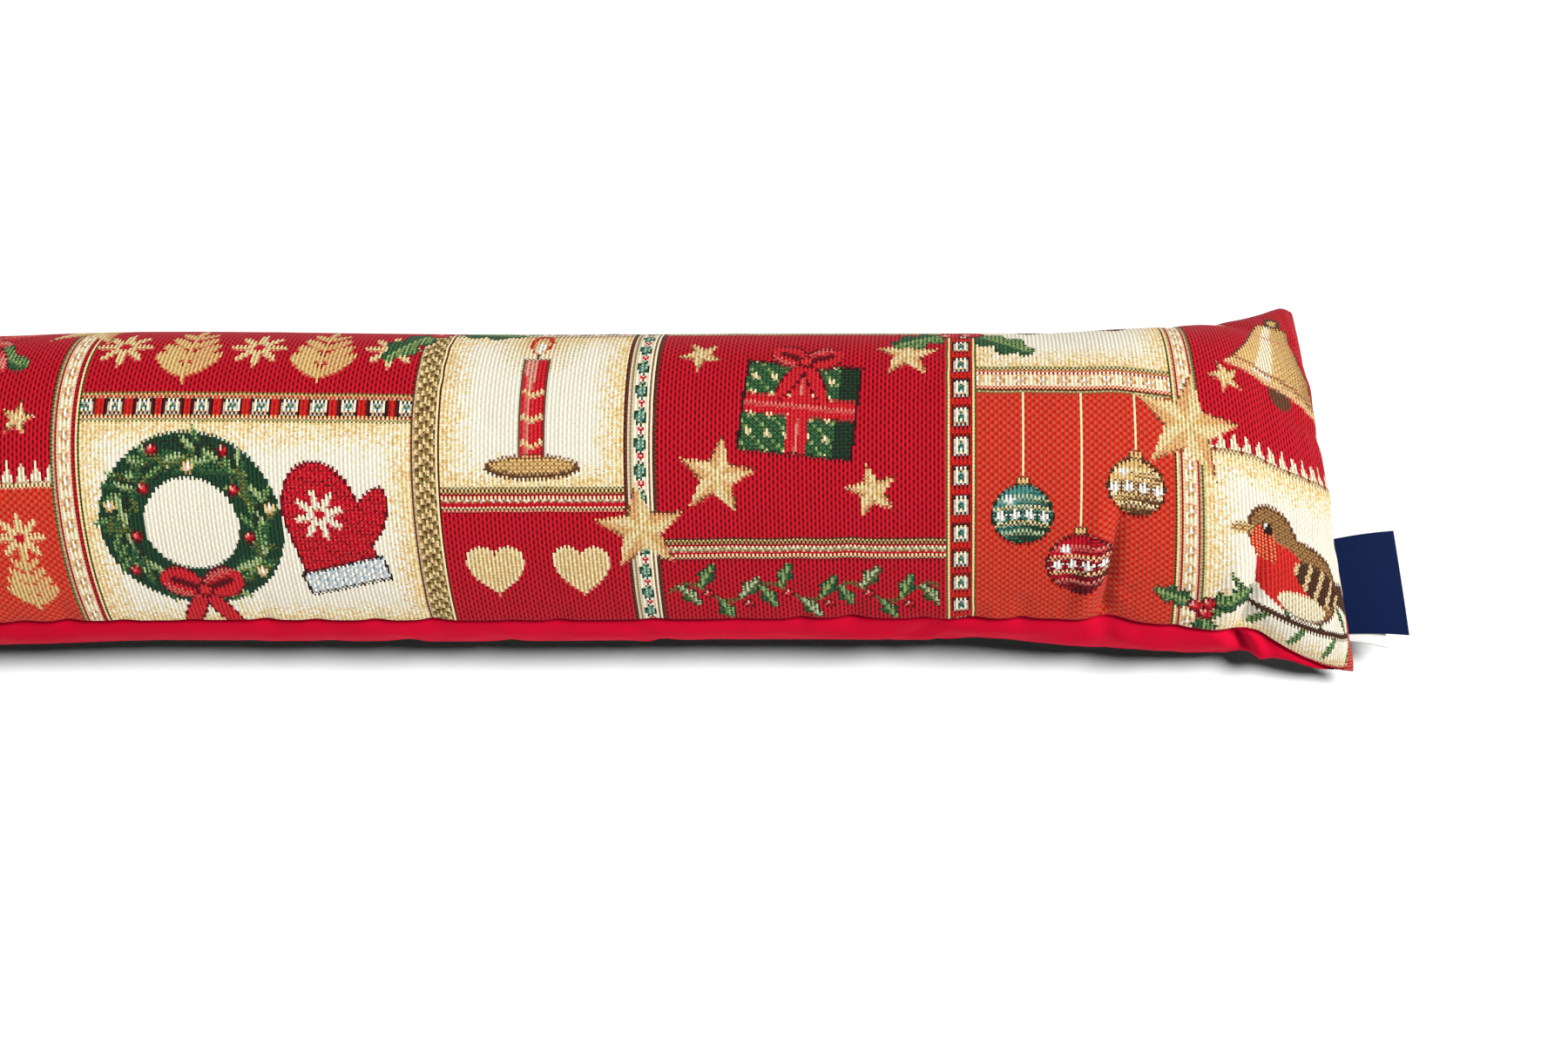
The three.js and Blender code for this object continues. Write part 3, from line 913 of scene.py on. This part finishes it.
def mitten(loom, at, size, turn, within):
    """A knitted mitten with a cuff and a snowflake."""
    m = Motif(loom, at, size, turn, within, size)
    palm = m.box(-0.3, 0.3, -0.35, 0.12)
    thumb = m.blade(0.16, -0.22, 0.56, 0.26, 52)[0]
    m.paint(m.disc(0, 0.12, 0.3, 0.42) | palm | thumb, "maroon")
    inner = m.disc(0, 0.12, 0.3, 0.42, less=1) | (palm & (np.abs(m.x) < size * 0.3 - 1))
    inner |= m.blade(0.16, -0.22, 0.54, 0.26, 52, less=1.8)[0]
    m.paint(inner, "crimson", "bright_red", 0.4)
    knit = np.mod(m.y + np.abs(np.mod(m.x, 4) - 2), 3) < 0.9
    m.paint(inner & knit, "maroon", "crimson", 0.4)
    m.paint(m.box(-0.34, 0.34, -0.52, -0.3), "dark")
    m.paint(m.box(-0.34, 0.34, -0.52, -0.3, less=1), "white", "sky", np.where(np.mod(m.x, 3) < 1, 0.8, 0.1))
    eight_point_star(m, -size * 0.02, size * 0.13, size * 0.2, "white")


def heart(m, x, y, size):
    px, py = (m.x - x) / size, (m.y - y) / size
    form = px**2 + (1.15 * py - 0.62 * np.sqrt(np.abs(px))) ** 2
    m.paint(form < 0.5, "straw")
    m.paint(form < 0.36, "gold", "straw", 0.4)
    m.paint((form < 0.3) & (np.mod(m.x + m.y, 5) < 1), "straw")


def pine_cone(m, x, y, length, turn):
    inside, u, v = m.blade(x, y, length, length * 0.52, turn)
    m.paint(inside, "dark")
    scales = np.mod(u * length / 3.1, 1)
    offset = np.mod(np.floor(u * length / 3.1), 2) * 2
    m.paint(inside & (scales > 0.3) & (np.mod(v + offset, 4) < 3), "brown", "tan", 0.45)
    m.paint(inside & (scales > 0.75) & (np.mod(v + offset, 4) < 2.4), "straw", "tan", 0.4)


def flower_lattice(loom, left, right, low, high, pitch):
    """Rows of eight-petal flowers with small diamonds between them."""
    for i in range(int((right - left) / pitch) + 1):
        for j in range(int((high - low) / pitch) + 1):
            at = (left + (i + 0.5) * pitch, low + (j + 0.5) * pitch)
            m = Motif(loom, at, 0.6 * pitch, 0, (left, right, low, high))
            rosette(m, 0.43 * pitch)
            diamond = np.abs(m.x - pitch / 2) + np.abs(m.y - pitch / 2)
            m.paint(diamond < 0.15 * pitch, "maroon")
            m.paint(diamond < 0.06 * pitch, "straw")


# Patches of the front: left, right, low, high, ground, in millimetres of the flat cloth
PATCHES = [
    (0, 104, 0, 86, "cream"), (0, 104, 98, 200, "crimson"),
    (117, 230, 0, 44, "crimson"), (117, 230, 52, 128, "orange"), (117, 230, 140, 200, "cream"),
    (242, 338, 0, 66, "orange"), (242, 338, 78, 200, "crimson"),
    (350, 486, 0, 92, "cream"), (350, 486, 104, 152, "crimson"), (350, 486, 160, 200, "orange"),
    (498, 574, 0, 56, "crimson"), (498, 574, 66, 142, "cream"), (498, 574, 154, 200, "crimson"),
    (587, 706, 0, 34, "crimson"), (587, 706, 44, 144, "crimson"), (587, 706, 156, 200, "cream"),
    (719, 800, 0, 104, "orange"), (719, 800, 116, 200, "cream"),
    (812, 900, 0, 84, "cream"), (812, 900, 96, 200, "crimson"),
]

# Borders between the patches: left, right, low, high, style
BORDERS = [
    (0, 104, 86, 98, "braid"), (117, 230, 44, 52, "pips"), (117, 230, 128, 140, "drops"),
    (242, 338, 66, 78, "saw"), (350, 486, 92, 104, "chain"), (350, 486, 152, 160, "pips"),
    (498, 574, 56, 66, "stripes"), (498, 574, 142, 154, "beads"),
    (587, 706, 34, 44, "stripes"), (587, 706, 144, 156, "braid"),
    (719, 800, 104, 116, "drops"), (812, 900, 84, 96, "saw"),
    (104, 117, 0, 200, "beads"), (230, 242, 0, 200, "stripes"), (338, 350, 0, 200, "drops"),
    (486, 498, 0, 200, "braid"), (574, 587, 0, 200, "beads"), (706, 719, 0, 200, "chain"),
    (800, 812, 0, 200, "drops"),
]


def weave_front(cells):
    """Weaves the whole front: a festive patchwork of plain grounds, borders and motifs."""
    loom = Loom(cells)
    grounds = [patch(loom, *sizes) for sizes in PATCHES]
    box = [sizes[:4] for sizes in PATCHES]

    # The patches, column by column from the plain end
    candle(loom, (52, 42), 64, box[0])
    stars(loom, [(24, 128, 15, 8), (74, 150, 19, -14), (34, 178, 11, 25), (88, 118, 8, 0)])
    garland(loom, 119, 228, 22, 20)
    bell(loom, (150, 92), 40, 10)
    bell(loom, (196, 88), 40, -12)
    flower_lattice(loom, *box[4], 22)
    for k, upwards in enumerate((1, -1, 1)):
        eight_point_star(grounds[5], -32 + 32 * k, 14 * upwards - 2, 11)
        sprig(grounds[5], -32 + 32 * k, -24 * upwards, 30, 90 * upwards)
    poinsettia(loom, (290, 138), 1.05, 10)
    stars(loom, [(256, 94, 9, 0), (326, 188, 10, 20), (324, 94, 8, -10), (256, 186, 12, 8)])
    wreath(loom, (394, 50), 36, box[7])
    mitten(loom, (450, 48), 54, 14, box[7])
    for x in (-56, 0, 56):
        eight_point_star(grounds[8], x, 0, 12)
    for x in (-28, 28):
        sprig(grounds[8], x, -20, 38, 90)
    stars(loom, [(368 + 33 * k, 180, 11, 12 * k) for k in range(4)], box[9])
    for side in (-1, 1):
        heart(grounds[10], 18 * side, -2, 17)
        eight_point_star(grounds[12], 19 * side, 0, 14)
    candle(loom, (536, 102), 66, box[11])
    garland(loom, 589, 704, 17, 15)
    stars(loom, [(612, 70, 17, -8), (676, 64, 12, 14), (690, 124, 14, 0), (604, 124, 10, 30)])
    parcel(loom, (646, 98), 48, 40, -6, box[14])
    flower_lattice(loom, *box[15], 22)
    bauble(loom, (738, 54), 13, 60, ("forest", "teal", "sage"), box[16])
    bauble(loom, (762, 32), 14, 80, ("maroon", "crimson", "rose"), box[16])
    bauble(loom, (784, 66), 12, 60, ("brown", "gold", "straw"), box[16])
    pine = grounds[17]
    for k in range(9):
        leaf(pine, 0, 22, 27, 5, -14 + 208 * k / 8)
    pine_cone(pine, -13, 20, 32, -102)
    pine_cone(pine, 13, 22, 34, -76)
    bell(loom, (860, 146), 46, -10, box[19])
    stars(loom, [(830, 180, 12, 0), (826, 120, 9, 20), (886, 108, 8, 40)], box[19])
    bird(loom, (856, 42), 50, box[18])

    for sizes in BORDERS:
        strip(loom, *sizes)

    # Motifs that lie across the borders
    stars(loom, [(236, 52, 21, 12), (344, 152, 24, -10), (580, 48, 20, 6), (806, 94, 24, -8)])
    holly(loom, (112, 134), 1, 20)
    holly(loom, (492, 150), 1.2, -30)
    holly(loom, (712, 146), 1.25, 60)
    holly(loom, (812, 14), 0.8, 10)

    # The red edge of the seam, which shows round the front corner of the labelled end
    corner = Motif(loom, (CLOTH_LENGTH, 0), 40)
    corner.paint(corner.y < 6 + 0.12 * corner.x, "crimson", "maroon", 0.2)
    corner.paint((corner.x > -15 + 0.4 * corner.y) & (corner.y < 34), "crimson", "rose", 0.3)
    return loom


def threads(loom):
    """The colour of each cell: lighter ribs and darker sunk threads between them, partly thread colour and
    partly painted shade, with dots and uneven threads.
    """
    i, j = np.indices(loom.cells)
    sunk = i % 2 == 1
    turn = (j + 2 * (i // 2 % 2)) % 4
    # Sunk cells darker and ribs a little lighter: partly the darker threads that show there and partly
    # painted shade in the sunk places
    shade = np.where(sunk, np.where(turn < 2, 0.6, 0.86), 1.06)
    shade = np.where((loom.weave == RIBBED) & sunk, np.where(turn < 3, 0.93, 1.06), shade)
    shade = np.where((loom.weave == SPECKLED) & sunk, np.where(turn < 2, 0.2, 0.84), shade)
    shade = np.where((loom.weave == LATTICED) & sunk, 0.8, shade)
    shade = shade * (1 + np.where(loom.weave == RIBBED, 0.1, 0.22) * (loom.grain - 0.5))
    shade *= 1 + 0.06 * (np.random.default_rng(3).random((loom.cells[0], 1)) - 0.5)
    colour = loom.colour * shade[..., None]
    dot = (loom.weave == LATTICED) & sunk & (turn < 2)
    colour[dot] = 0.82 * colour[dot] + 0.18 * loom.names["straw"]
    return np.clip(colour, 0, 1)


def set_inputs(node, values):
    """Sets inputs of a shader node by their names, and gives the node back."""
    for name, value in values.items():
        node.inputs[name].default_value = value
    return node


def material_of(name, roughness, specular):
    """A new material, its node tree and its shader."""
    material = bpy.data.materials.new(name)
    material.use_nodes = True
    tree = material.node_tree
    values = {"Roughness": roughness, "Specular IOR Level": specular}
    return material, tree, set_inputs(tree.nodes["Principled BSDF"], values)


def maths(tree, operation, first, second=None, third=None):
    """A math node whose inputs are numbers or other nodes' outputs."""
    node = tree.nodes.new("ShaderNodeMath")
    node.operation = operation
    for socket, value in zip(node.inputs, (first, second, third)):
        if value is None:
            continue
        if isinstance(value, (int, float)):
            socket.default_value = value
        else:
            tree.links.new(value, socket)
    return node.outputs[0]


def bumped(tree, shader, height, distance, strength):
    """Gives the shader the bumps of a height."""
    bump = set_inputs(tree.nodes.new("ShaderNodeBump"), {"Strength": strength, "Distance": distance})
    tree.links.new(height, bump.inputs["Height"])
    tree.links.new(bump.outputs["Normal"], shader.inputs["Normal"])


def pattern(tree, kind, values):
    """A noise or wave texture that is laid on by the piece's own coordinates."""
    texture = set_inputs(tree.nodes.new(kind), values)
    place = tree.nodes.new("ShaderNodeTexCoord").outputs["Object"]
    tree.links.new(place, texture.inputs["Vector"])
    return texture


def two_tones(tree, shader, factor, tones, places=(0, 1)):
    """Colours the shader from one tone to another as a factor goes from one place to another."""
    ramp = tree.nodes.new("ShaderNodeValToRGB")
    for element, tone, place in zip(ramp.color_ramp.elements, tones, places):
        element.color = (*linear(tone), 1)
        element.position = place
    tree.links.new(factor, ramp.inputs["Fac"])
    tree.links.new(ramp.outputs["Color"], shader.inputs["Base Color"])


def tapestry_material():
    """Matt woven cloth: one colour to a cell, darkened by painted shade in the gaps beside each rib and
    between rows, and a bump on it.
    """
    material, tree, shader = material_of("woven_tapestry", 0.82, 0.1)
    set_inputs(shader, {"Sheen Weight": 0.02, "Sheen Roughness": 0.5})
    colour = tree.nodes.new("ShaderNodeAttribute")
    colour.attribute_name = "threads"
    cells = tree.nodes.new("ShaderNodeAttribute")
    cells.attribute_name = "cells"
    place = tree.nodes.new("ShaderNodeSeparateXYZ")
    tree.links.new(cells.outputs["Vector"], place.inputs[0])
    # Highest at the middle of every other cell along the length
    turn = maths(tree, "MULTIPLY_ADD", place.outputs["X"], math.pi, -math.pi / 2)
    rib = maths(tree, "MULTIPLY_ADD", maths(tree, "COSINE", turn), 0.5, 0.5)
    half_turns = maths(tree, "MULTIPLY", place.outputs["Y"], math.pi)
    row = maths(tree, "ABSOLUTE", maths(tree, "SINE", half_turns))
    # Darker beside each rib and between the rows: painted shade in the grooves of the weave, laid into the
    # base colour besides the bump
    rib_gap_shade = maths(tree, "MULTIPLY_ADD", rib, 0.3, 0.7)
    shade = maths(tree, "MULTIPLY", rib_gap_shade, maths(tree, "MULTIPLY_ADD", row, 0.14, 0.9))
    mixed = tree.nodes.new("ShaderNodeVectorMath")
    mixed.operation = "SCALE"
    tree.links.new(colour.outputs["Color"], mixed.inputs[0])
    tree.links.new(shade, mixed.inputs["Scale"])
    tree.links.new(mixed.outputs[0], shader.inputs["Base Color"])
    bumped(tree, shader, maths(tree, "MULTIPLY_ADD", row, 0.35, rib), 0.00022, 0.7)
    return material


def satin_material():
    """Smooth red cloth with a soft sheen, a fine weave and faint creases."""
    material, tree, shader = material_of("red_back_cloth", 0.42, 0.004)
    blotch = pattern(tree, "ShaderNodeTexNoise", {"Scale": 9, "Detail": 3})
    two_tones(tree, shader, blotch.outputs["Fac"], ("#c80c2c", "#d81034"), (0.3, 0.7))
    weave = pattern(tree, "ShaderNodeTexWave", {"Scale": 700})
    ripples = pattern(tree, "ShaderNodeTexNoise", {"Scale": 22, "Detail": 1.5, "Distortion": 0.8})
    height = maths(tree, "MULTIPLY_ADD", weave.outputs["Fac"], 0.01, ripples.outputs["Fac"])
    bumped(tree, shader, height, 0.006, 0.8)
    return material


def ribbon_material(name, tones, roughness):
    """Woven ribbon with fine slanting ribs."""
    material, tree, shader = material_of(name, roughness, 0.08)
    ribs = pattern(tree, "ShaderNodeTexWave", {"Scale": 420})
    ribs.bands_direction = "DIAGONAL"
    two_tones(tree, shader, ribs.outputs["Fac"], tones)
    bumped(tree, shader, ribs.outputs["Fac"], 0.0001, 0.6)
    return material


def from_seams(points):
    """How far each point of a panel's grid lies from the nearest seam, in millimetres."""
    columns, rows = points.shape[:2]
    i, j = np.indices((columns, rows))
    along = np.minimum(i, columns - 1 - i) * CLOTH_LENGTH / (columns - 1)
    across = np.minimum(j, rows - 1 - j) * CLOTH_WIDTH / (rows - 1)
    return np.minimum(along, across)


def make_front(moves):
    """The tapestry front, in pieces that meet edge to edge along its length."""
    points = panel_points(FRONT_CELLS, "top", moves)
    rolled = np.clip(from_seams(points) / ROLLED_EDGE, 0, 1)
    lift = CLEARANCE + CLOTH_THICKNESS * np.sqrt(1 - (1 - rolled) ** 2)
    points = points + lift[..., None] * outward(points)
    points[..., 2] = np.maximum(points[..., 2], OFF_FLOOR)
    woven = threads(weave_front(FRONT_CELLS))
    material = tapestry_material()
    wide = FRONT_CELLS[0] // len(FRONT_PIECES)
    for k, name in enumerate(FRONT_PIECES):
        first, last = k * wide, (k + 1) * wide
        part = points[first:last + 1]
        piece = cloth_piece(name, part, material)
        colour = np.ones((last - first, FRONT_CELLS[1], 4), np.float32)
        colour[..., :3] = woven[first:last]
        layer = piece.data.attributes.new("threads", "FLOAT_COLOR", "CORNER")
        layer.data.foreach_set("color", np.repeat(colour.reshape(-1, 4), 4, axis=0).ravel())
        i, j = np.indices(part.shape[:2])
        cells = np.stack([i + first, j, 0 * i], -1).astype(np.float32)
        piece.data.attributes.new("cells", "FLOAT_VECTOR", "POINT").data.foreach_set("vector", cells.ravel())
        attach(piece, "root")
        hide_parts("tapestry_front")


def make_back(moves):
    """The filled cushion with its plain back."""
    top = panel_points(BACK_CELLS, "top", moves["top"])
    under = panel_points(BACK_CELLS, "under", moves["under"], crowded=0.75)
    points, faces, _, _ = pillow(top, under)
    cushion = mesh_piece("filled_cushion", points, faces, satin_material())
    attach(cushion, "root")
    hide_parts("cushion_body")


# Labels: piece, node, slot, tones and roughness of the ribbon, the shares of the seam that it lies
# between, how far its two corners reach out, and how far under the seam it lies
LABELS = [
    ("navy_ribbon", "navy_label", "navy_ribbon", ("#061130", "#0d2250"), 0.7,
     (0.207, 0.409), ((26.2, -1, 0.7), (25.7, 2.5, 2.9)), 0.4),
    ("care_ribbon", "care_label", "white_ribbon", ("#e4e3df", "#f7f6f3"), 0.6,
     (0.19, 0.33), ((17, -2.6, -1.6), (17, 0, 0)), 2.1),
]
LABEL_STEPS = 25
LAYER_STEPS = 21
LAYER_GAP = 0.5
LABEL_BULGE = 0.9


def make_labels():
    """Two ribbons in the labelled end's seam, each folded at its outer edge."""
    # Out along the upper layer, round the fold, and back along the lower layer
    bend = np.linspace(30, 150, 5) * math.pi / 180
    layer = np.linspace(0, 1, LAYER_STEPS)
    out = np.concatenate([layer, 1 + 0.5 * np.sin(bend) / 25, layer[::-1]])
    down = np.concatenate([0 * layer, (1 - np.cos(bend)) * LAYER_GAP / 2, 0 * layer + LAYER_GAP])
    for name, node, slot, tones, roughness, shares, sweeps, under in LABELS:
        share = np.linspace(*shares, LABEL_STEPS)[None, :]
        root = surface(np.full((1, 1), EAR_TO_EAR / 2), share, "top")[0]
        step = np.linspace(0, 1, LABEL_STEPS)[:, None]
        sweep = (1 - step) * np.array(sweeps[0]) + step * np.array(sweeps[1])
        points = root[None] + out[:, None, None] * sweep[None]
        points[..., 0] += CLEARANCE
        points[..., 2] += LABEL_BULGE * np.sin(np.pi * np.clip(out, 0, 1))[:, None] - under - down[:, None]
        piece = cloth_piece(name, points, ribbon_material(slot + "_weave", tones, roughness))
        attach(piece, "root")
        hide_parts(node)


camera_and_light()
floor()
moves = settle()
make_front(moves["top"])
make_back(moves)
make_labels()
